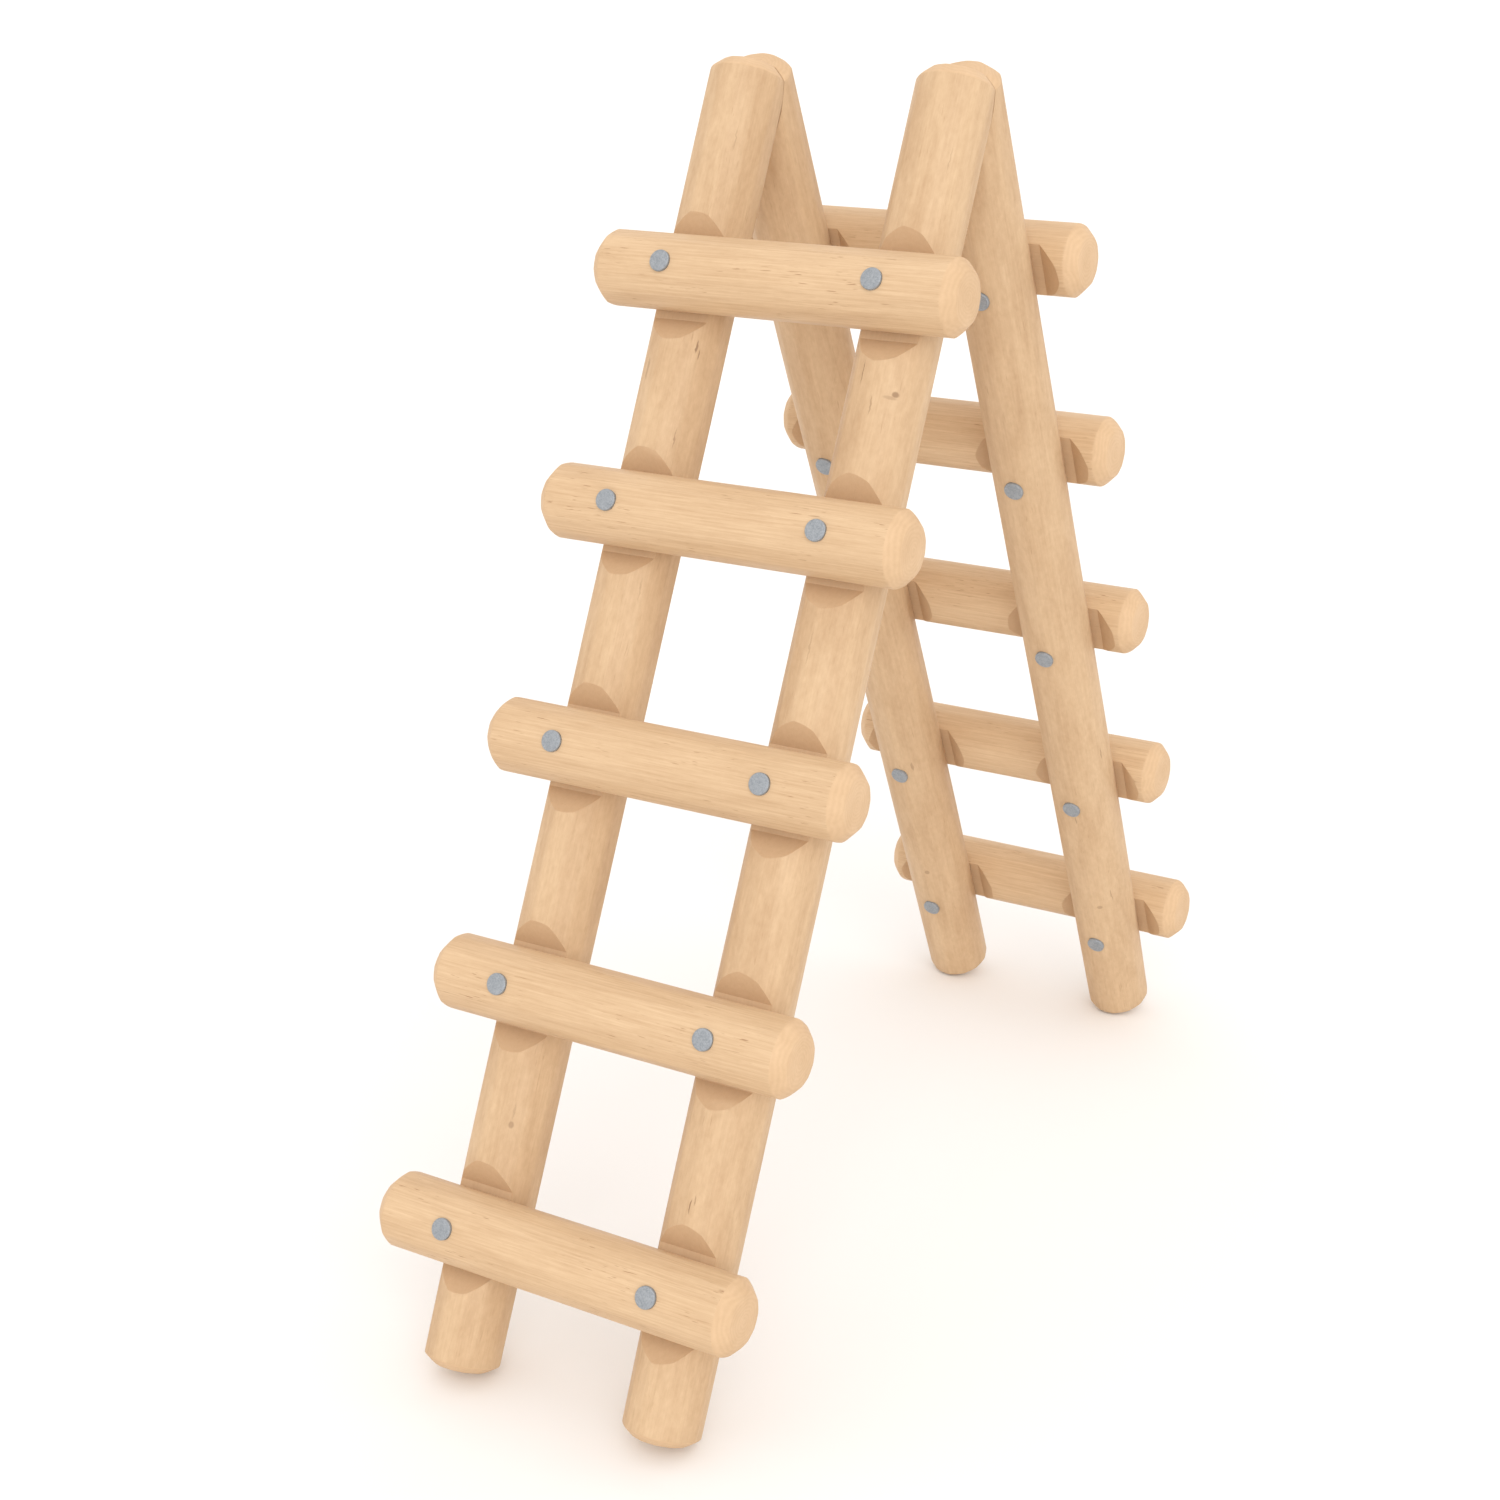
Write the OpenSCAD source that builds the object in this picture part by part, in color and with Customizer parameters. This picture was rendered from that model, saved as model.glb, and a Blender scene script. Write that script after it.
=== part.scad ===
// Climbing frame of round timber poles: two ladders that lean together in a mitred A-frame.
// +Z is up, X runs along the rungs, the front ladder is on the -Y side.
// The origin is on the ground, under the middle of the frame.

/* [Poles] */
// Diameter of the legs
leg_d = 120; // [110:1:140]
// Diameter of the rungs
rung_d = 115; // [105:1:140]
// Width of the chamfer round both ends of every pole
end_chamfer = 17; // [8:1:22]

/* [Ladders] */
// Lean of each ladder away from upright, in degrees
lean = 25; // [21:0.5:30]
// Distance along the legs from one rung to the next
rung_pitch = 360; // [300:5:440]
// Distance along the legs from the mitre's centre to the top rung
top_reach = 345; // [330:1:420]
// Length of leg below the lowest rung's centre
foot_reach = 210; // [180:2:600]
// Distance between the two legs of a ladder, centre to centre
leg_spacing = 350; // [290:1:460]
// Length of rung past each leg's centre
rung_overhang = 126; // [120:1:220]

/* [Lap joints] */
// Depth of the notch in each of the two poles of a joint
notch_depth = 24; // [18:1:28]
// Length of the notch's flat bed beyond the other pole's width, at each end
bed_margin = 5; // [0:0.5:8]
// Slope of the notch's ramps, in degrees from the pole's axis
ramp_angle = 33; // [30:1:45]

/* [Bolts] */
// Thread diameter of the bolts
bolt_d = 12; // [10:1:14]
// Diameter of the flat round heads of the bolts and the sleeve nuts
head_d = 32; // [28:1:36]
// Thickness of those heads
head_h = 6; // [4.5:0.5:8]
// Depth of the flat seat under each head, where the seat's rim is shallowest
seat_rim = 0.6; // [0.4:0.1:2]
// Side of the square neck that stops a bolt turning
neck_side = 16; // [15:0.5:18]
// Length of the square neck
neck_len = 10; // [6:1:14]
// Outer diameter of the nut's sleeve
sleeve_d = 17; // [16:0.5:20]
// Length of bolt that is screwed into the sleeve
thread_len = 39; // [24:1:50]
// Room in the sleeve past the bolt's tip, for wood that swells and shrinks
tip_room = 27; // [10:1:35]

/* [Dowels] */
// Diameter of the dowels that hold each mitre
dowel_d = 24; // [16:1:28]
// Length of each dowel
dowel_len = 84; // [60:2:90]
// Depth of the upper dowel below the mitre's centre
dowel_top = 38; // [32:1:40]
// Distance between the two dowels of a mitre
dowel_pitch = 48; // [40:1:50]

/* [Hidden] */
$fn = 96;

// Clearances, each on the radius or on one side
hole_play = 0.3;
neck_play = 0.2;
thread_play = 0.1;
seat_play = 0.5;
dowel_play = 0.1;
rim_chamfer = 0.8;
end_gap = 1;
tool_overrun = 1;

rungs = 5;
leg_r = leg_d / 2;
rung_r = rung_d / 2;
// Distance between the axes of a leg and a rung, whose notch beds touch
lap_offset = leg_r + rung_r - 2 * notch_depth;
// Height of a head's seat above the axis of a pole: deep enough to be flat out to its own rim
seat_r = head_d / 2 + seat_play;
function seat_height(radius) = sqrt(radius ^ 2 - seat_r ^ 2) - seat_rim;
leg_seat = seat_height(leg_r);
rung_seat = seat_height(rung_r);
// Distance between the two seats of a joint, and what each half of its fastener spans
grip = rung_seat + lap_offset + leg_seat;
bolt_len = grip - tip_room;
sleeve_len = thread_len + tip_room;
leg_len = top_reach + (rungs - 1) * rung_pitch + foot_reach;
rung_len = leg_spacing + 2 * rung_overhang;
leg_x = leg_spacing / 2;
// Height of the mitre's centre, with the inner edge of each foot on the ground
mitre_z = leg_len * cos(lean) + (leg_r - end_chamfer) * sin(lean);
// Distance of each rung's axis from the mitre's centre, along the legs
rung_reach = [for (i = [0 : rungs - 1]) top_reach + i * rung_pitch];

wood = "burlywood";
dowel_wood = "tan";
metal = "lightsteelblue";

// A round pole along Z with its middle at the origin and both ends chamfered
module pole(radius, length) {
    straight = length - 2 * end_chamfer;
    cylinder(r = radius, h = straight, center = true);
    for (turn = [0, 180])
        rotate([turn, 0, 0])
            translate([0, 0, straight / 2])
                cylinder(r1 = radius, r2 = radius - end_chamfer, h = end_chamfer);
}

// What a notch for a crossing pole takes out of the -Y side of a pole along Z:
// a flat bed, a little longer than the crossing pole is wide, between two ramps
module notch(radius, crossing_radius) {
    bed = radius - notch_depth;
    top = radius + tool_overrun;
    half_bed = crossing_radius + bed_margin;
    half_top = half_bed + (top - bed) / tan(ramp_angle);
    rotate([90, 0, 90])
        linear_extrude(height = 2 * top, center = true)
            polygon([[-bed, -half_bed], [-bed, half_bed], [-top, half_top], [-top, -half_top]]);
}

// What a fastener takes out of a pole along Z: a hole across it and a flat seat on the +Y side
module fastener_hole(radius, hole_d) {
    rotate([90, 0, 0])
        cylinder(d = hole_d, h = 2 * (radius + tool_overrun), center = true);
    translate([0, seat_height(radius), 0])
        rotate([-90, 0, 0])
            cylinder(r = seat_r, h = radius);
}

// A pole with a lap joint at each of the stations along it
module lapped_pole(radius, length, crossing_radius, stations, hole_d) {
    difference() {
        pole(radius, length);
        for (z = stations)
            translate([0, 0, z]) {
                notch(radius, crossing_radius);
                fastener_hole(radius, hole_d);
            }
    }
}

// A flat round head with a small chamfer on its outer rim, standing on the XY plane
module flat_head() {
    cylinder(d = head_d, h = head_h - rim_chamfer);
    translate([0, 0, head_h - rim_chamfer])
        cylinder(d1 = head_d, d2 = head_d - 2 * rim_chamfer, h = rim_chamfer);
}

// A bolt with its head's seat on the XY plane and its shank down -Z
module bolt() {
    flat_head();
    translate([0, 0, -neck_len / 2])
        cube([neck_side, neck_side, neck_len], center = true);
    translate([0, 0, -(bolt_len - rim_chamfer)])
        cylinder(d = bolt_d, h = bolt_len - rim_chamfer);
    translate([0, 0, -bolt_len])
        cylinder(d1 = bolt_d - 2 * rim_chamfer, d2 = bolt_d, h = rim_chamfer);
}

// A sleeve nut with its head's seat on the XY plane and its sleeve down -Z, open at the far end
module sleeve_nut() {
    flat_head();
    translate([0, 0, -sleeve_len])
        difference() {
            cylinder(d = sleeve_d, h = sleeve_len);
            translate([0, 0, -tool_overrun])
                cylinder(d = bolt_d + 2 * thread_play, h = sleeve_len + tool_overrun);
        }
}

// Stands its children up on the front ladder, whose legs run down local -Z from the mitre's centre.
// The rear ladder is the front one mirrored.
module on_ladder(side) {
    mirror([0, side == "rear" ? 1 : 0, 0])
        translate([0, 0, mitre_z])
            rotate([-lean, 0, 0])
                children();
}

function hand_x(hand) = hand == "left" ? -leg_x : leg_x;

// The space beyond the mitre's upright face, on the other ladder's side
module beyond_mitre(side) {
    mirror([0, side == "rear" ? 1 : 0, 0])
        translate([0, leg_d, mitre_z])
            cube([leg_spacing + 2 * leg_d, 2 * leg_d, 4 * leg_d], center = true);
}

// The two round bars, or bores, across a mitre
module across_mitre(hand, diameter, length) {
    for (drop = [dowel_top, dowel_top + dowel_pitch])
        translate([hand_x(hand), 0, mitre_z - drop])
            rotate([90, 0, 0])
                cylinder(d = diameter, h = length, center = true);
}

// A leg: notched on its outer side, seated for the sleeve nuts on its inner side
module leg(side, hand) {
    stations = [for (reach = rung_reach) leg_len / 2 - reach];
    color(wood)
        difference() {
            on_ladder(side)
                translate([hand_x(hand), 0, -leg_len / 2])
                    lapped_pole(leg_r, leg_len, rung_r, stations, sleeve_d + 2 * hole_play);
            beyond_mitre(side);
            across_mitre(hand, dowel_d + 2 * dowel_play, dowel_len + 2 * end_gap);
        }
}

// A rung: notched where it crosses the legs, with a square socket in each outer seat
module rung(side, i) {
    color(wood)
        on_ladder(side)
            translate([0, -lap_offset, -rung_reach[i - 1]])
                rotate([180, 90, 0])
                    difference() {
                        lapped_pole(rung_r, rung_len, leg_r, [-leg_x, leg_x], bolt_d + 2 * hole_play);
                        for (z = [-leg_x, leg_x])
                            translate([0, rung_seat, z])
                                neck_socket();
                    }
}

// The square socket for a bolt's neck, sunk into the seat on the XZ plane
module neck_socket() {
    socket_side = neck_side + 2 * neck_play;
    translate([0, (tool_overrun - neck_len) / 2, 0])
        cube([socket_side, neck_len + tool_overrun, socket_side], center = true);
}

// The bolts down one leg, heads outward
module bolts(side, hand) {
    color(metal)
        on_ladder(side)
            for (reach = rung_reach)
                translate([hand_x(hand), -(lap_offset + rung_seat), -reach])
                    rotate([90, 0, 0])
                        bolt();
}

// The sleeve nuts down one leg, heads on its inner side
module sleeve_nuts(side, hand) {
    color(metal)
        on_ladder(side)
            for (reach = rung_reach)
                translate([hand_x(hand), leg_seat, -reach])
                    rotate([-90, 0, 0])
                        sleeve_nut();
}

module mitre_dowels(hand) {
    color(dowel_wood)
        across_mitre(hand, dowel_d, dowel_len);
}

for (side = ["front", "rear"]) {
    for (hand = ["left", "right"]) {
        leg(side, hand);
        bolts(side, hand);
        sleeve_nuts(side, hand);
    }
    for (i = [1 : rungs])
        rung(side, i);
}
for (hand = ["left", "right"])
    mitre_dowels(hand);
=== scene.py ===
"""An A-frame of round timber poles: peeled logs, lap joints and galvanised fasteners in a soft studio."""

import itertools
import math

import bmesh
import bpy
from mathutils import Matrix, Vector, noise


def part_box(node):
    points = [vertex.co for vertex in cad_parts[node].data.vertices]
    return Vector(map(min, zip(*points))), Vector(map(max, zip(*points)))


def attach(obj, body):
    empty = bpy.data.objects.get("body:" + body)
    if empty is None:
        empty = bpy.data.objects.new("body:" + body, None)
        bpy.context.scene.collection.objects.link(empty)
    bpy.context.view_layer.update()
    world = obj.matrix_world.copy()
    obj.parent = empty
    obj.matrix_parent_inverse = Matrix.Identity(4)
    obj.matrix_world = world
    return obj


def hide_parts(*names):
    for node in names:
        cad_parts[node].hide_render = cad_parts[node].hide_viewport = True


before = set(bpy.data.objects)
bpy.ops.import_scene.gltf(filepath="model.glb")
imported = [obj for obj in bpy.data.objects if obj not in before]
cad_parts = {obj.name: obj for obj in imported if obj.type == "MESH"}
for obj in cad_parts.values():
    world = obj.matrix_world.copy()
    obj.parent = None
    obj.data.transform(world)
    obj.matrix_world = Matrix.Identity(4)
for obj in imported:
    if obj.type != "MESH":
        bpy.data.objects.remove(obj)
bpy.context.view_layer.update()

# Sizes that the boxes of the CAD nodes don't give, in metres
END_CHAMFER = 0.017
FOOT_CHAMFER = 0.012
NOTCH_DEPTH = 0.024
BED_MARGIN = 0.005
RAMP_ANGLE = math.radians(33)
HEAD_RADIUS = 0.016
HEAD_HEIGHT = 0.006
SEAT_RADIUS = 0.0165
SEAT_RIM = 0.0006
NECK_SIDE = 0.016
NECK_LENGTH = 0.010
BOLT_RADIUS = 0.006
SLEEVE_RADIUS = 0.0085
SLEEVE_LENGTH = 0.066
BOLT_TIP_CHAMFER = 0.0008
SLEEVE_TIP_CHAMFER = 0.0006
TIP_ROOM = 0.027
HOLE_PLAY = 0.0003
NECK_PLAY = 0.0002
THREAD_PLAY = 0.0001
DOWEL_PLAY = 0.0001
END_GAP = 0.001
# Half of the dark line left where the two legs of a mitre meet
MITRE_GAP = 0.0008
MITRE_BLOCK = (0.4, 0.24, 0.5)

# The peeled skin: long flats, how far each is shaved towards a true flat, and slight waves
FLATS = 12
SHAVE = 0.5
WAVE_HEIGHT = 0.0004
FOOT_TAPER = 0.005
TAPER_LENGTH = 0.5
POLE_STEPS = 96
RING_SPACING = 0.012

# Points closer than this are merged after the cuts
CLEAN_DISTANCE = 2e-5
WOOD_EDGE = math.radians(28)
STEEL_EDGE = math.radians(35)

SIDES = ("front", "rear")
HANDS = ("left", "right")
RUNGS = range(1, 6)

# The slots of a log's mesh for its sawn notches and its ends; its skin is slot 0
SAWN = 1
END = 2

# Each log takes its figure from its own stretch of one long imagined log
LEG_STRETCH = 2.5
RUNG_STRETCH = 0.75


# ---- The frame's setting out, measured on the CAD nodes ----

def middle(node):
    low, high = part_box(node)
    return (low + high) / 2


top_rung = middle("front_rung_1")
bottom_rung = middle("front_rung_5")
lean = math.atan2(top_rung.y - bottom_rung.y, top_rung.z - bottom_rung.z)
rung_pitch = (top_rung - bottom_rung).length / 4
rung_low, rung_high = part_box("front_rung_1")
rung_radius = (rung_high.z - rung_low.z) / 2
rung_length = rung_high.x - rung_low.x
leg_low, leg_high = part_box("front_right_leg")
leg_radius = (leg_high.x - leg_low.x) / 2
leg_x = (leg_high.x + leg_low.x) / 2
lap_offset = leg_radius + rung_radius - 2 * NOTCH_DEPTH
# The legs' axes meet here, above the origin
leg_line_point = top_rung + lap_offset * Vector((0, math.cos(lean), -math.sin(lean)))
mitre_height = leg_line_point.z - leg_line_point.y / math.tan(lean)
top_reach = (Vector((0, 0, mitre_height)) - leg_line_point).length
leg_length = (mitre_height - (leg_radius - END_CHAMFER) * math.sin(lean)) / math.cos(lean)
rung_reach = [top_reach + rung_pitch * (i - 1) for i in RUNGS]


def seat_height(radius):
    return math.sqrt(radius ** 2 - SEAT_RADIUS ** 2) - SEAT_RIM


def ladder_place(side):
    """From a ladder's own frame, -Y outward and -Z down the legs from the mitre, to the world."""
    facing = Matrix.Rotation(math.pi if side == "rear" else 0, 4, "Z")
    return facing @ Matrix.Translation((0, 0, mitre_height)) @ Matrix.Rotation(-lean, 4, "X")


def hand_x(side, hand):
    """Where a leg stands along X in its ladder's own frame."""
    sign = -1 if hand == "left" else 1
    if side == "rear":
        sign = -sign
    return sign * leg_x


# ---- Shader node groups and materials ----

def put(tree, kind, settings=None, inputs=None):
    """Adds a node; an input is either another node's output or a plain value."""
    node = tree.nodes.new(kind)
    for name, value in (settings or {}).items():
        setattr(node, name, value)
    for name, value in (inputs or {}).items():
        if isinstance(value, bpy.types.NodeSocket):
            tree.links.new(value, node.inputs[name])
        else:
            node.inputs[name].default_value = value
    return node


def calc(tree, operation, first, second=0.0, third=0.0, clamp=False):
    settings = {"operation": operation, "use_clamp": clamp}
    return put(tree, "ShaderNodeMath", settings, {0: first, 1: second, 2: third}).outputs[0]


def stretched(tree, place, scale):
    """The place with each axis scaled, so that a pattern can run along the grain."""
    settings = {"operation": "MULTIPLY"}
    return put(tree, "ShaderNodeVectorMath", settings, {0: place, 1: scale}).outputs["Vector"]


def grain_noise(tree, place, scale, detail, roughness):
    return put(tree, "ShaderNodeTexNoise", None, {
        "Vector": stretched(tree, place, scale), "Scale": 1.0, "Detail": detail,
        "Roughness": roughness}).outputs["Fac"]


def band(tree, value, low, high, out_low=0.0, out_high=1.0):
    settings = {"interpolation_type": "SMOOTHSTEP"}
    inputs = {"Value": value, "From Min": low, "From Max": high, "To Min": out_low, "To Max": out_high}
    return put(tree, "ShaderNodeMapRange", settings, inputs).outputs["Result"]


def blended(tree, amount, first, second):
    settings = {"data_type": "RGBA", "blend_type": "MIX"}
    node = put(tree, "ShaderNodeMix", settings, {"Factor": amount})
    for name, value in ((6, first), (7, second)):
        if isinstance(value, bpy.types.NodeSocket):
            tree.links.new(value, node.inputs[name])
        else:
            node.inputs[name].default_value = value
    return node.outputs[2]


def new_group(name, inputs, outputs):
    tree = bpy.data.node_groups.new(name, "ShaderNodeTree")
    for label, kind, value in inputs:
        socket = tree.interface.new_socket(label, in_out="INPUT", socket_type="NodeSocket" + kind)
        if value is not None:
            socket.default_value = value
    for label, kind in outputs:
        tree.interface.new_socket(label, in_out="OUTPUT", socket_type="NodeSocket" + kind)
    return tree, put(tree, "NodeGroupInput").outputs


def wood_figure():
    """Peeled softwood: growth rings, cloudy patches, fibres and short resin flecks along the log."""
    tree, given = new_group("wood_figure", [
        ("Place", "Vector", None),
        ("Pale", "Color", (0.8, 0.56, 0.34, 1)),
        ("Deep", "Color", (0.6, 0.38, 0.21, 1)),
        ("Fleck", "Color", (0.36, 0.2, 0.1, 1)),
        ("Clouds", "Float", 0.5),
        ("Curl", "Float", 0.5),
        ("Fibres", "Float", 0.5),
        ("Rings", "Float", 0.5),
        ("Flecks", "Float", 0.5),
    ], [("Color", "Color"), ("Height", "Float"), ("Polish", "Float")])
    place = given["Place"]
    clouds = grain_noise(tree, place, (22, 22, 5), 3.0, 0.55)
    curl = grain_noise(tree, place, (150, 150, 75), 3.0, 0.6)
    fibres = grain_noise(tree, place, (360, 360, 9), 5.0, 0.62)
    hairs = grain_noise(tree, place, (1100, 1100, 34), 2.0, 0.5)
    wander = grain_noise(tree, place, (16, 16, 3.2), 2.0, 0.5)
    across = stretched(tree, place, (1, 1, 0))
    radius = put(tree, "ShaderNodeVectorMath", {"operation": "LENGTH"}, {0: across}).outputs["Value"]
    turns = calc(tree, "MULTIPLY_ADD", wander, 34.0, calc(tree, "MULTIPLY", radius, 1150.0))
    rings = calc(tree, "MULTIPLY_ADD", calc(tree, "SINE", turns), 0.5, 0.5)
    shade = calc(tree, "MULTIPLY", calc(tree, "SUBTRACT", clouds, 0.5), given["Clouds"])
    shade = calc(tree, "MULTIPLY_ADD", calc(tree, "SUBTRACT", curl, 0.5), given["Curl"], shade)
    shade = calc(tree, "MULTIPLY_ADD", calc(tree, "SUBTRACT", fibres, 0.5), given["Fibres"], shade)
    shade = calc(tree, "MULTIPLY_ADD", calc(tree, "SUBTRACT", rings, 0.5), given["Rings"], shade)
    fine = calc(tree, "MULTIPLY", given["Fibres"], 0.35)
    shade = calc(tree, "MULTIPLY_ADD", calc(tree, "SUBTRACT", hairs, 0.5), fine, shade)
    tone = calc(tree, "ADD", shade, 0.5, clamp=True)
    dashes = band(tree, grain_noise(tree, place, (560, 560, 38), 1.0, 0.5), 0.66, 0.76)
    gate = band(tree, grain_noise(tree, place, (30, 30, 9), 1.0, 0.5), 0.45, 0.62)
    dashes = calc(tree, "MULTIPLY", calc(tree, "MULTIPLY", dashes, gate), given["Flecks"], clamp=True)
    color = blended(tree, tone, given["Deep"], given["Pale"])
    color = blended(tree, dashes, color, given["Fleck"])
    height = calc(tree, "MULTIPLY_ADD", fibres, 0.5, calc(tree, "MULTIPLY", hairs, 0.35))
    height = calc(tree, "SUBTRACT", height, calc(tree, "MULTIPLY", dashes, 0.5))
    put(tree, "NodeGroupOutput", None, {"Color": color, "Height": height, "Polish": clouds})
    return tree


def blemish():
    """A knot or a drying check at one place on a log: 1 at its middle, 0 past its edge."""
    tree, given = new_group("blemish", [
        ("Place", "Vector", None),
        ("Centre", "Vector", None),
        ("Across", "Vector", None),
        ("Half Length", "Float", 0.02),
        ("Half Width", "Float", 0.002),
        ("Wander", "Float", 0.004),
    ], [("Mask", "Float")])
    away = put(tree, "ShaderNodeVectorMath", {"operation": "SUBTRACT"}, {
        0: given["Place"], 1: given["Centre"]}).outputs["Vector"]
    drift = grain_noise(tree, given["Place"], (90, 90, 70), 2.0, 0.6)
    drift = calc(tree, "MULTIPLY", calc(tree, "SUBTRACT", drift, 0.5), given["Wander"])
    side = put(tree, "ShaderNodeVectorMath", {"operation": "DOT_PRODUCT"}, {
        0: away, 1: given["Across"]}).outputs["Value"]
    side = calc(tree, "DIVIDE", calc(tree, "ADD", side, drift), given["Half Width"])
    parts = put(tree, "ShaderNodeSeparateXYZ", None, {"Vector": away})
    along = calc(tree, "DIVIDE", parts.outputs["Z"], given["Half Length"])
    far = calc(tree, "ADD", calc(tree, "POWER", side, 2.0), calc(tree, "POWER", along, 2.0))
    mask = band(tree, calc(tree, "SQRT", far), 0.55, 1.1, 1.0, 0.0)
    # Without this limit the mark would show again on the far side of the log
    distance = put(tree, "ShaderNodeVectorMath", {"operation": "LENGTH"}, {0: away}).outputs["Value"]
    near = calc(tree, "LESS_THAN", distance, 0.07)
    put(tree, "NodeGroupOutput", None, {"Mask": calc(tree, "MULTIPLY", mask, near)})
    return tree


def zinc_spangle():
    """Hot-dip galvanising: small frosty crystals, each a little lighter or darker."""
    tree, given = new_group("zinc_spangle", [
        ("Place", "Vector", None),
        ("Light", "Color", (0.44, 0.465, 0.495, 1)),
        ("Dark", "Color", (0.20, 0.225, 0.25, 1)),
    ], [("Color", "Color"), ("Roughness", "Float"), ("Height", "Float")])
    crystals = put(tree, "ShaderNodeTexVoronoi", None, {"Vector": given["Place"], "Scale": 620.0})
    tint = put(tree, "ShaderNodeSeparateColor", None, {"Color": crystals.outputs["Color"]}).outputs["Red"]
    frost = grain_noise(tree, given["Place"], (150, 150, 150), 4.0, 0.6)
    tone = calc(tree, "MULTIPLY_ADD", tint, 0.45, calc(tree, "MULTIPLY", frost, 0.55))
    color = blended(tree, tone, given["Dark"], given["Light"])
    rough = calc(tree, "MULTIPLY_ADD", tint, 0.14, 0.46)
    put(tree, "NodeGroupOutput", None, {"Color": color, "Roughness": rough, "Height": tone})
    return tree


WOOD_FIGURE = wood_figure()
BLEMISH = blemish()
ZINC_SPANGLE = zinc_spangle()


def new_material(name):
    material = bpy.data.materials.new(name)
    material.use_nodes = True
    tree = material.node_tree
    return material, tree, tree.nodes["Principled BSDF"]


def place_on_log(tree):
    """The place in the log's own frame: its axis is Z, and each log has its own stretch of it."""
    return put(tree, "ShaderNodeAttribute", {"attribute_name": "on_log"}).outputs["Vector"]


def wood_material(name, place, pale, deep, figure, rough, bump, marks=()):
    """figure is how much clouds, curl, fibres, rings and flecks show; marks are knots and checks."""
    material, tree, shader = new_material(name)
    place = place(tree)
    clouds, curl, fibres, rings, flecks = figure
    wood = put(tree, "ShaderNodeGroup", {"node_tree": WOOD_FIGURE}, {
        "Place": place, "Pale": pale, "Deep": deep, "Clouds": clouds, "Curl": curl, "Fibres": fibres,
        "Rings": rings, "Flecks": flecks})
    color = wood.outputs["Color"]
    height = wood.outputs["Height"]
    marked = None
    for centre, across, half_length, half_width, wander, dark in marks:
        mask = put(tree, "ShaderNodeGroup", {"node_tree": BLEMISH}, {
            "Place": place, "Centre": centre, "Across": across, "Half Length": half_length,
            "Half Width": half_width, "Wander": wander}).outputs["Mask"]
        mask = calc(tree, "MULTIPLY", mask, dark)
        marked = mask if marked is None else calc(tree, "MAXIMUM", marked, mask)
    if marked is not None:
        color = blended(tree, marked, color, (0.22, 0.12, 0.06, 1))
        height = calc(tree, "SUBTRACT", height, marked)
    tree.links.new(color, shader.inputs["Base Color"])
    polish = band(tree, wood.outputs["Polish"], 0.3, 0.7, rough + 0.07, rough - 0.07)
    tree.links.new(polish, shader.inputs["Roughness"])
    shader.inputs["Specular IOR Level"].default_value = 0.3
    relief = put(tree, "ShaderNodeBump", None, {"Strength": bump, "Distance": 0.0006, "Height": height})
    tree.links.new(relief.outputs["Normal"], shader.inputs["Normal"])
    return material


def zinc_material():
    material, tree, shader = new_material("galvanised_steel")
    place = put(tree, "ShaderNodeTexCoord").outputs["Object"]
    zinc = put(tree, "ShaderNodeGroup", {"node_tree": ZINC_SPANGLE}, {"Place": place})
    tree.links.new(zinc.outputs["Color"], shader.inputs["Base Color"])
    tree.links.new(zinc.outputs["Roughness"], shader.inputs["Roughness"])
    shader.inputs["Metallic"].default_value = 0.55
    relief = put(tree, "ShaderNodeBump", None, {
        "Strength": 0.25, "Distance": 0.0003, "Height": zinc.outputs["Height"]})
    tree.links.new(relief.outputs["Normal"], shader.inputs["Normal"])
    return material


def along_dowel(tree):
    """The dowels lie along Y, so their grain is turned to run that way."""
    place = put(tree, "ShaderNodeTexCoord").outputs["Object"]
    return put(tree, "ShaderNodeMapping", None, {
        "Vector": place, "Rotation": (math.pi / 2, 0, 0)}).outputs["Vector"]


# Knots and drying checks of the legs: each row holds what leg_mark is given
LEG_MARKS = [
    (0, -57, 0.132, 0.020, 0.0012, 0.008, 0.30),
    (0, -45, 0.446, 0.011, 0.0016, 0.006, 0.75),
    (0, -40, 0.457, 0.009, 0.0013, 0.006, 0.60),
    (0, -119, 0.489, 0.020, 0.0030, 0.008, 0.35),
    (0, -47, 0.586, 0.018, 0.0012, 0.008, 0.40),
    (0, -49, 0.818, 0.022, 0.0010, 0.010, 0.25),
    (0, -61, 1.625, 0.006, 0.0050, 0.003, 0.45),
    (0, -60, 1.605, 0.016, 0.0015, 0.006, 0.25),
    (1, -50, 0.142, 0.022, 0.0010, 0.010, 0.25),
    (1, -109, 0.461, 0.020, 0.0014, 0.008, 0.60),
    (1, -53, 0.486, 0.005, 0.0060, 0.003, 0.65),
    (1, -60, 0.492, 0.003, 0.0120, 0.004, 0.30),
    (1, -85, 0.507, 0.016, 0.0014, 0.008, 0.45),
    (1, -95, 0.860, 0.030, 0.0012, 0.010, 0.25),
    (1, -89, 1.660, 0.012, 0.0012, 0.006, 0.80),
    (1, -84, 1.650, 0.008, 0.0010, 0.005, 0.50),
    (2, 117, 1.402, 0.012, 0.0030, 0.008, 0.40),
    (2, 98, 1.685, 0.006, 0.0055, 0.002, 0.40),
    (3, 161, 1.310, 0.015, 0.0014, 0.006, 0.50),
    (3, 95, 1.452, 0.010, 0.0016, 0.006, 0.45),
    (3, 135, 1.656, 0.018, 0.0014, 0.008, 0.40),
    (3, 110, 1.681, 0.005, 0.0060, 0.003, 0.40),
]


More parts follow.
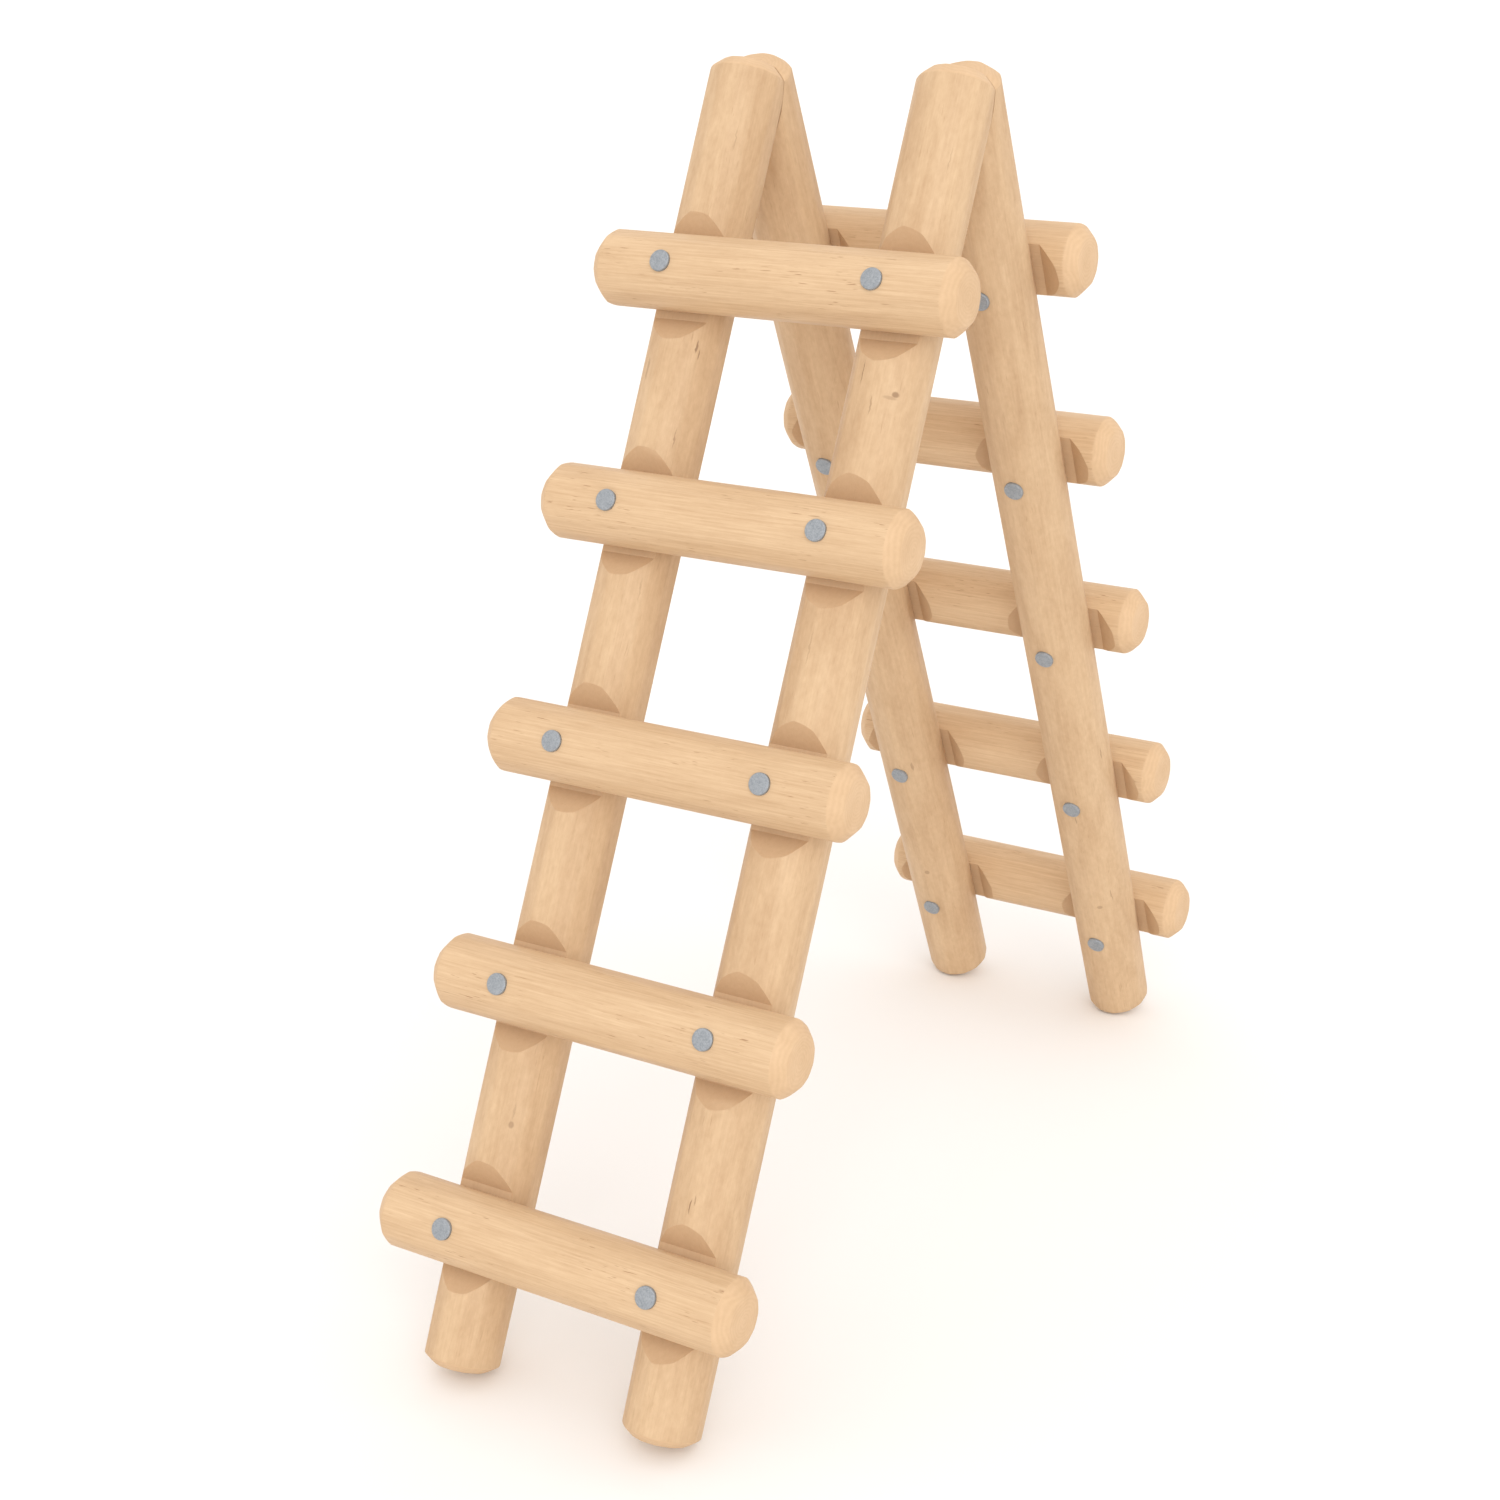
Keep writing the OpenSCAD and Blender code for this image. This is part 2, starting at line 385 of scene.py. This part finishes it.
def leg_mark(leg, around, reach, half_length, half_width, wander, dark):
    """A knot or check on the leg with this number: degrees round it, metres down it from the mitre."""
    turn = math.radians(around)
    height = leg_length / 2 - reach + LEG_STRETCH * leg
    centre = (leg_radius * math.cos(turn), leg_radius * math.sin(turn), height)
    across = (-math.sin(turn), math.cos(turn), 0)
    return centre, across, half_length, half_width, wander, dark


def leg_wood(number):
    """The skin of one leg, with its own knots and checks."""
    marks = [leg_mark(*row) for row in LEG_MARKS if row[0] == number]
    return wood_material(
        f"leg_wood_{number + 1}", place_on_log, (0.665, 0.474, 0.29, 1), (0.51, 0.333, 0.19, 1),
        (1.2, 0.9, 0.7, 0.2, 0.4), 0.55, 0.4, marks)


rung_wood = wood_material(
    "rung_wood", place_on_log, (0.70, 0.502, 0.31, 1), (0.54, 0.356, 0.203, 1),
    (0.7, 0.3, 1.7, 0.1, 0.9), 0.52, 0.35)
end_grain = wood_material(
    "end_grain", place_on_log, (0.69, 0.480, 0.292, 1), (0.58, 0.39, 0.226, 1),
    (1.2, 0.6, 0.3, 0.25, 0.0), 0.62, 0.15)
cut_wood = wood_material(
    "cut_wood", place_on_log, (0.63, 0.438, 0.268, 1), (0.56, 0.374, 0.22, 1),
    (0.6, 0.8, 0.8, 0.1, 0.2), 0.6, 0.2)
dowel_wood = wood_material(
    "dowel_wood", along_dowel, (0.72, 0.50, 0.31, 1), (0.58, 0.38, 0.22, 1),
    (0.5, 0.3, 0.9, 0.2, 0.3), 0.5, 0.2)
galvanised = zinc_material()


# ---- Making the pieces ----

def shell(bm, materials, name):
    """A closed mesh from a bmesh, as an object in the scene."""
    mesh = bpy.data.meshes.new(name)
    bm.to_mesh(mesh)
    bm.free()
    for material in materials:
        mesh.materials.append(material)
    piece = bpy.data.objects.new(name, mesh)
    bpy.context.scene.collection.objects.link(piece)
    return piece


def turned(profile, segments=48):
    """A solid turned about Z from (radius, height) points that start and end on the axis."""
    bm = bmesh.new()
    points = [bm.verts.new((radius, 0, height)) for radius, height in profile]
    edges = [bm.edges.new(pair) for pair in zip(points, points[1:])]
    bmesh.ops.spin(
        bm, geom=points + edges, axis=(0, 0, 1), cent=(0, 0, 0), angle=math.tau, steps=segments,
        use_merge=True)
    bmesh.ops.remove_doubles(bm, verts=bm.verts, dist=1e-6)
    bmesh.ops.recalc_face_normals(bm, faces=bm.faces)
    return bm


def end_corner(radius, end, height):
    """From the middle of a pole's end to its side: a chamfer of this height with both rims eased."""
    flat = radius - END_CHAMFER
    steps = [
        (-0.002, 0), (0.0004, 0.0009), (0.0025, 0.0029), (0.0085, 0.0087), (0.0138, 0.0141),
        (0.0158, 0.0166), (0.0167, 0.0183), (END_CHAMFER, 0.0205)]
    rise = height / END_CHAMFER
    return [(0, end), (flat * 0.5, end)] + [(flat + out, end - down * rise) for out, down in steps]


def pole_profile(radius, length, low_chamfer):
    """Half of a pole's outline: soft chamfers at both ends and evenly spaced rings between."""
    top = end_corner(radius, length / 2, END_CHAMFER)
    bottom = [(r, -z) for r, z in reversed(end_corner(radius, length / 2, low_chamfer))]
    high = top[-1][1]
    low = bottom[0][1]
    rings = round((high - low) / RING_SPACING)
    side = [(radius, high + (low - high) * i / rings) for i in range(1, rings)]
    return top + side + bottom


def peeled_pole(radius, length, phase, seed, low_chamfer=END_CHAMFER, foot_taper=0.0):
    """A round pole along Z with softly chamfered ends, its skin drawknifed into long shallow flats."""
    bm = turned(pole_profile(radius, length, low_chamfer), POLE_STEPS)
    for face in bm.faces:
        if abs(face.normal.z) > 0.3:
            face.material_index = END
    for v in bm.verts:
        around = math.atan2(v.co.y, v.co.x)
        turn = (around + phase) % (math.tau / FLATS) - math.pi / FLATS
        flat = 1 - (1 - math.cos(math.pi / FLATS) / math.cos(turn)) * SHAVE
        spot = Vector((math.cos(around) * 1.1, math.sin(around) * 1.1, v.co.z * 4 + seed * 5.3))
        wave = WAVE_HEIGHT * (noise.noise(spot) - 1)
        low = min(1.0, max(0.0, (v.co.z + length / 2) / TAPER_LENGTH))
        thin = foot_taper * (1 - low) ** 2 * max(0.0, -math.cos(around))
        scale = flat + (wave - thin) / radius
        v.co.x *= scale
        v.co.y *= scale
    return bm


def prism(outline, half_width):
    """A solid with this outline in the YZ plane, as wide as twice half_width along X."""
    bm = bmesh.new()
    face = bm.faces.new([bm.verts.new((-half_width, y, z)) for y, z in outline])
    grown = bmesh.ops.extrude_face_region(bm, geom=[face])
    moved = [g for g in grown["geom"] if isinstance(g, bmesh.types.BMVert)]
    bmesh.ops.translate(bm, verts=moved, vec=(2 * half_width, 0, 0))
    bmesh.ops.recalc_face_normals(bm, faces=bm.faces)
    return bm


def rod(radius, low, high, segments):
    """A round solid along Y, from y = low to y = high."""
    bm = bmesh.new()
    bmesh.ops.create_cone(
        bm, cap_ends=True, cap_tris=False, segments=segments, radius1=radius, radius2=radius,
        depth=high - low)
    bmesh.ops.rotate(bm, verts=bm.verts, matrix=Matrix.Rotation(math.pi / 2, 3, "X"))
    bmesh.ops.translate(bm, verts=bm.verts, vec=(0, (low + high) / 2, 0))
    return bm


def block(size, centre):
    bm = bmesh.new()
    bmesh.ops.create_cube(bm, size=1, matrix=Matrix.Translation(centre) @ Matrix.Diagonal((*size, 1)))
    return bm


def at_places(bm, places):
    """Copies of a solid at several places, in one bmesh."""
    pattern = bpy.data.meshes.new("pattern")
    bm.to_mesh(pattern)
    bm.free()
    row = bmesh.new()
    for place in places:
        known = len(row.verts)
        row.from_mesh(pattern)
        row.verts.ensure_lookup_table()
        bmesh.ops.transform(row, verts=row.verts[known:], matrix=place)
    bpy.data.meshes.remove(pattern)
    return row


def solve(piece, other, operation):
    """Joins the other solids to the piece (UNION), or takes them out of it (DIFFERENCE)."""
    tool = shell(other, piece.data.materials, "tool")
    modifier = piece.modifiers.new("solve", "BOOLEAN")
    modifier.operation = operation
    modifier.solver = "MANIFOLD"
    modifier.object = tool
    bpy.context.view_layer.update()
    depsgraph = bpy.context.evaluated_depsgraph_get()
    solved = bpy.data.meshes.new_from_object(piece.evaluated_get(depsgraph))
    piece.modifiers.clear()
    old = piece.data
    piece.data = solved
    bpy.data.meshes.remove(old)
    old_tool = tool.data
    bpy.data.objects.remove(tool)
    bpy.data.meshes.remove(old_tool)


def cut(piece, cutter):
    """Takes the cutter's solids out of the piece; the new faces are sawn wood."""
    for face in cutter.faces:
        face.material_index = SAWN
    solve(piece, cutter, "DIFFERENCE")


def notch_outline(radius, crossing_radius):
    """A lap's flat bed and sloped ramps, across a pole, for a crossing pole of the second radius."""
    bed = radius - NOTCH_DEPTH
    top = radius + 0.001
    half_bed = crossing_radius + BED_MARGIN
    half_top = half_bed + (top - bed) / math.tan(RAMP_ANGLE)
    return [(-bed, -half_bed), (-bed, half_bed), (-top, half_top), (-top, -half_top)]


def lap_joints(piece, radius, crossing_radius, stations, hole_radius):
    """Notches on the -Y side, holes across and flat seats on the +Y side, at stations along Z."""
    places = [Matrix.Translation((0, 0, z)) for z in stations]
    cut(piece, at_places(prism(notch_outline(radius, crossing_radius), radius + 0.002), places))
    cut(piece, at_places(rod(hole_radius, -radius - 0.003, radius + 0.003, 48), places))
    cut(piece, at_places(rod(SEAT_RADIUS, seat_height(radius), radius + 0.004, 96), places))


def finished(piece, nodes, smooth=WOOD_EDGE):
    """Cleans the mesh, smooths its shading between sharp edges and ties the piece to the frame."""
    bm = bmesh.new()
    bm.from_mesh(piece.data)
    bmesh.ops.remove_doubles(bm, verts=bm.verts, dist=CLEAN_DISTANCE)
    bmesh.ops.dissolve_degenerate(bm, edges=bm.edges, dist=CLEAN_DISTANCE)
    many_sided = [f for f in bm.faces if len(f.verts) > 4]
    bmesh.ops.triangulate(bm, faces=many_sided, ngon_method="EAR_CLIP")
    for face in bm.faces:
        face.smooth = True
    for edge in bm.edges:
        edge.smooth = edge.calc_face_angle(0) < smooth
    bm.to_mesh(piece.data)
    bm.free()
    piece.data.name = piece.name
    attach(piece, "root")
    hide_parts(*nodes)


def mark_places(piece, place, offset):
    """Keeps, for the wood's figure, where each point was in the log before it was put in the frame."""
    back = place.inverted()
    attribute = piece.data.attributes.new("on_log", "FLOAT_VECTOR", "POINT")
    for point, vertex in zip(attribute.data, piece.data.vertices):
        point.vector = back @ vertex.co + Vector((0, 0, offset))


def make_leg(side, hand, number):
    bm = peeled_pole(leg_radius, leg_length, 0.2 + 0.4 * number, number, FOOT_CHAMFER, FOOT_TAPER)
    piece = shell(bm, (leg_wood(number), cut_wood, end_grain), f"{side}_{hand}_leg_log")
    stations = [leg_length / 2 - reach for reach in rung_reach]
    lap_joints(piece, leg_radius, rung_radius, stations, SLEEVE_RADIUS + HOLE_PLAY)
    place = ladder_place(side) @ Matrix.Translation((hand_x(side, hand), 0, -leg_length / 2))
    piece.data.transform(place)
    # The upright mitre and the two dowel bores, in the frame's own axes
    beyond = 1 if side == "front" else -1
    x = leg_x if hand == "right" else -leg_x
    cut(piece, block(MITRE_BLOCK, (x, (MITRE_BLOCK[1] / 2 - MITRE_GAP) * beyond, mitre_height)))
    dowel_low, dowel_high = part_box(f"{hand}_mitre_dowels")
    bore = (dowel_high.x - dowel_low.x) / 2 + DOWEL_PLAY
    reach = dowel_high.y + END_GAP
    heights = (dowel_high.z - bore + DOWEL_PLAY, dowel_low.z + bore - DOWEL_PLAY)
    places = [Matrix.Translation((x, 0, z)) for z in heights]
    cut(piece, at_places(rod(bore, -reach, reach, 64), places))
    mark_places(piece, place, LEG_STRETCH * number)
    finished(piece, [f"{side}_{hand}_leg"])


def make_rung(side, i, number):
    bm = peeled_pole(rung_radius, rung_length, 0.13 + 0.31 * number, number + 20)
    piece = shell(bm, (rung_wood, cut_wood, end_grain), f"{side}_rung_{i}_log")
    lap_joints(piece, rung_radius, leg_radius, (-leg_x, leg_x), BOLT_RADIUS + HOLE_PLAY)
    seat = seat_height(rung_radius)
    socket_side = NECK_SIDE + 2 * NECK_PLAY
    overcut = 0.001
    socket = block(
        (socket_side, NECK_LENGTH + overcut, socket_side), (0, seat + (overcut - NECK_LENGTH) / 2, 0))
    cut(piece, at_places(socket, [Matrix.Translation((0, 0, z)) for z in (-leg_x, leg_x)]))
    place = ladder_place(side) @ Matrix.Translation((0, -lap_offset, -rung_reach[i - 1]))
    place = place @ Matrix.Rotation(math.pi, 4, "X") @ Matrix.Rotation(math.pi / 2, 4, "Y")
    piece.data.transform(place)
    mark_places(piece, place, RUNG_STRETCH * number)
    finished(piece, [f"{side}_rung_{i}"])


def round_head():
    """A flat round head, a little crowned, its outer rim rounded over."""
    r = HEAD_RADIUS
    h = HEAD_HEIGHT
    return [
        (r - 0.0003, 0), (r, 0.0003), (r, h - 0.0016), (r - 0.00025, h - 0.0009), (r - 0.0007, h - 0.0005),
        (r - 0.0014, h - 0.00025), (r * 0.6, h - 0.0001), (r * 0.3, h), (0, h)]


def bolt():
    """A bolt with its head's seat on the XY plane, a square neck and its shank down -Z."""
    grip = seat_height(rung_radius) + lap_offset + seat_height(leg_radius)
    length = grip - TIP_ROOM
    chamfer = BOLT_TIP_CHAMFER
    shank = [
        (0, -length), (BOLT_RADIUS - chamfer, -length), (BOLT_RADIUS, -length + chamfer), (BOLT_RADIUS, 0)]
    neck = block((NECK_SIDE, NECK_SIDE, NECK_LENGTH), (0, 0, -NECK_LENGTH / 2))
    upright = [e for e in neck.edges if abs(e.verts[0].co.z - e.verts[1].co.z) > NECK_LENGTH / 2]
    bmesh.ops.bevel(
        neck, geom=upright, offset=0.0008, offset_type="OFFSET", affect="EDGES", segments=2, profile=0.5,
        material=-1)
    return joined(turned(shank + round_head()), neck)


def sleeve_nut():
    """A sleeve nut with its head's seat on the XY plane and its open sleeve down -Z."""
    length = SLEEVE_LENGTH
    inner = BOLT_RADIUS + THREAD_PLAY
    chamfer = SLEEVE_TIP_CHAMFER
    sleeve = [
        (0, 0), (inner, 0), (inner, -length + chamfer), (inner + chamfer, -length),
        (SLEEVE_RADIUS - chamfer, -length), (SLEEVE_RADIUS, -length + chamfer), (SLEEVE_RADIUS, 0)]
    return turned(sleeve + round_head())


def joined(first, second):
    """One closed skin round two solids that reach into each other."""
    piece = shell(first, (), "joined")
    solve(piece, second, "UNION")
    bm = bmesh.new()
    bm.from_mesh(piece.data)
    mesh = piece.data
    bpy.data.objects.remove(piece)
    bpy.data.meshes.remove(mesh)
    return bm


def make_fasteners(side, hand):
    x = hand_x(side, hand)
    ladder = ladder_place(side)
    rows = (
        ("bolts", bolt(), -(lap_offset + seat_height(rung_radius)), math.pi / 2),
        ("sleeve_nuts", sleeve_nut(), seat_height(leg_radius), -math.pi / 2))
    for kind, bm, y, turn in rows:
        places = [
            ladder @ Matrix.Translation((x, y, -reach)) @ Matrix.Rotation(turn, 4, "X")
            for reach in rung_reach]
        piece = shell(at_places(bm, places), (galvanised,), f"{side}_{hand}_{kind}_steel")
        finished(piece, [f"{side}_{hand}_{kind}"], STEEL_EDGE)


for number, (side, hand) in enumerate(itertools.product(SIDES, HANDS)):
    make_leg(side, hand, number)
    make_fasteners(side, hand)
for number, (side, i) in enumerate(itertools.product(SIDES, RUNGS)):
    make_rung(side, i, number)
for hand in HANDS:
    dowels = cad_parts[f"{hand}_mitre_dowels"]
    dowels.data.materials.clear()
    dowels.data.materials.append(dowel_wood)


# ---- The studio ----

def studio():
    bm = bmesh.new()
    bmesh.ops.create_grid(bm, x_segments=2, y_segments=2, size=150)
    floor_material, _, shader = new_material("studio_floor")
    shader.inputs["Base Color"].default_value = (0.9, 0.895, 0.89, 1)
    shader.inputs["Roughness"].default_value = 0.9
    shader.inputs["Specular IOR Level"].default_value = 0.1
    floor = shell(bm, (floor_material,), "studio_floor")

    world = bpy.data.worlds.new("studio_dome")
    bpy.context.scene.world = world
    world.use_nodes = True
    dome = world.node_tree.nodes["Background"]
    dome.inputs["Color"].default_value = (1.0, 0.962, 0.93, 1)
    dome.inputs["Strength"].default_value = 1.15

    key = bpy.data.lights.new("key", "SUN")
    key.energy = 1.0
    key.angle = math.radians(45)
    key.color = (0.95, 0.98, 1.0)
    lamp = bpy.data.objects.new("key", key)
    lamp.rotation_euler = (math.radians(60), 0, math.radians(37))
    bpy.context.scene.collection.objects.link(lamp)
    bpy.context.scene.view_settings.view_transform = "Standard"


def photographer():
    lens = bpy.data.cameras.new("camera")
    lens.lens = 57.4
    lens.sensor_width = 36
    camera = bpy.data.objects.new("camera", lens)
    stand = Vector((4.8536, -8.9682, 0.6604)) * rung_pitch
    camera.location = stand + Vector((0, 0, mitre_height))
    camera.rotation_euler = (math.pi / 2 - 0.3416, 0, 0.5374)
    bpy.context.scene.collection.objects.link(camera)
    bpy.context.scene.camera = camera


studio()
photographer()
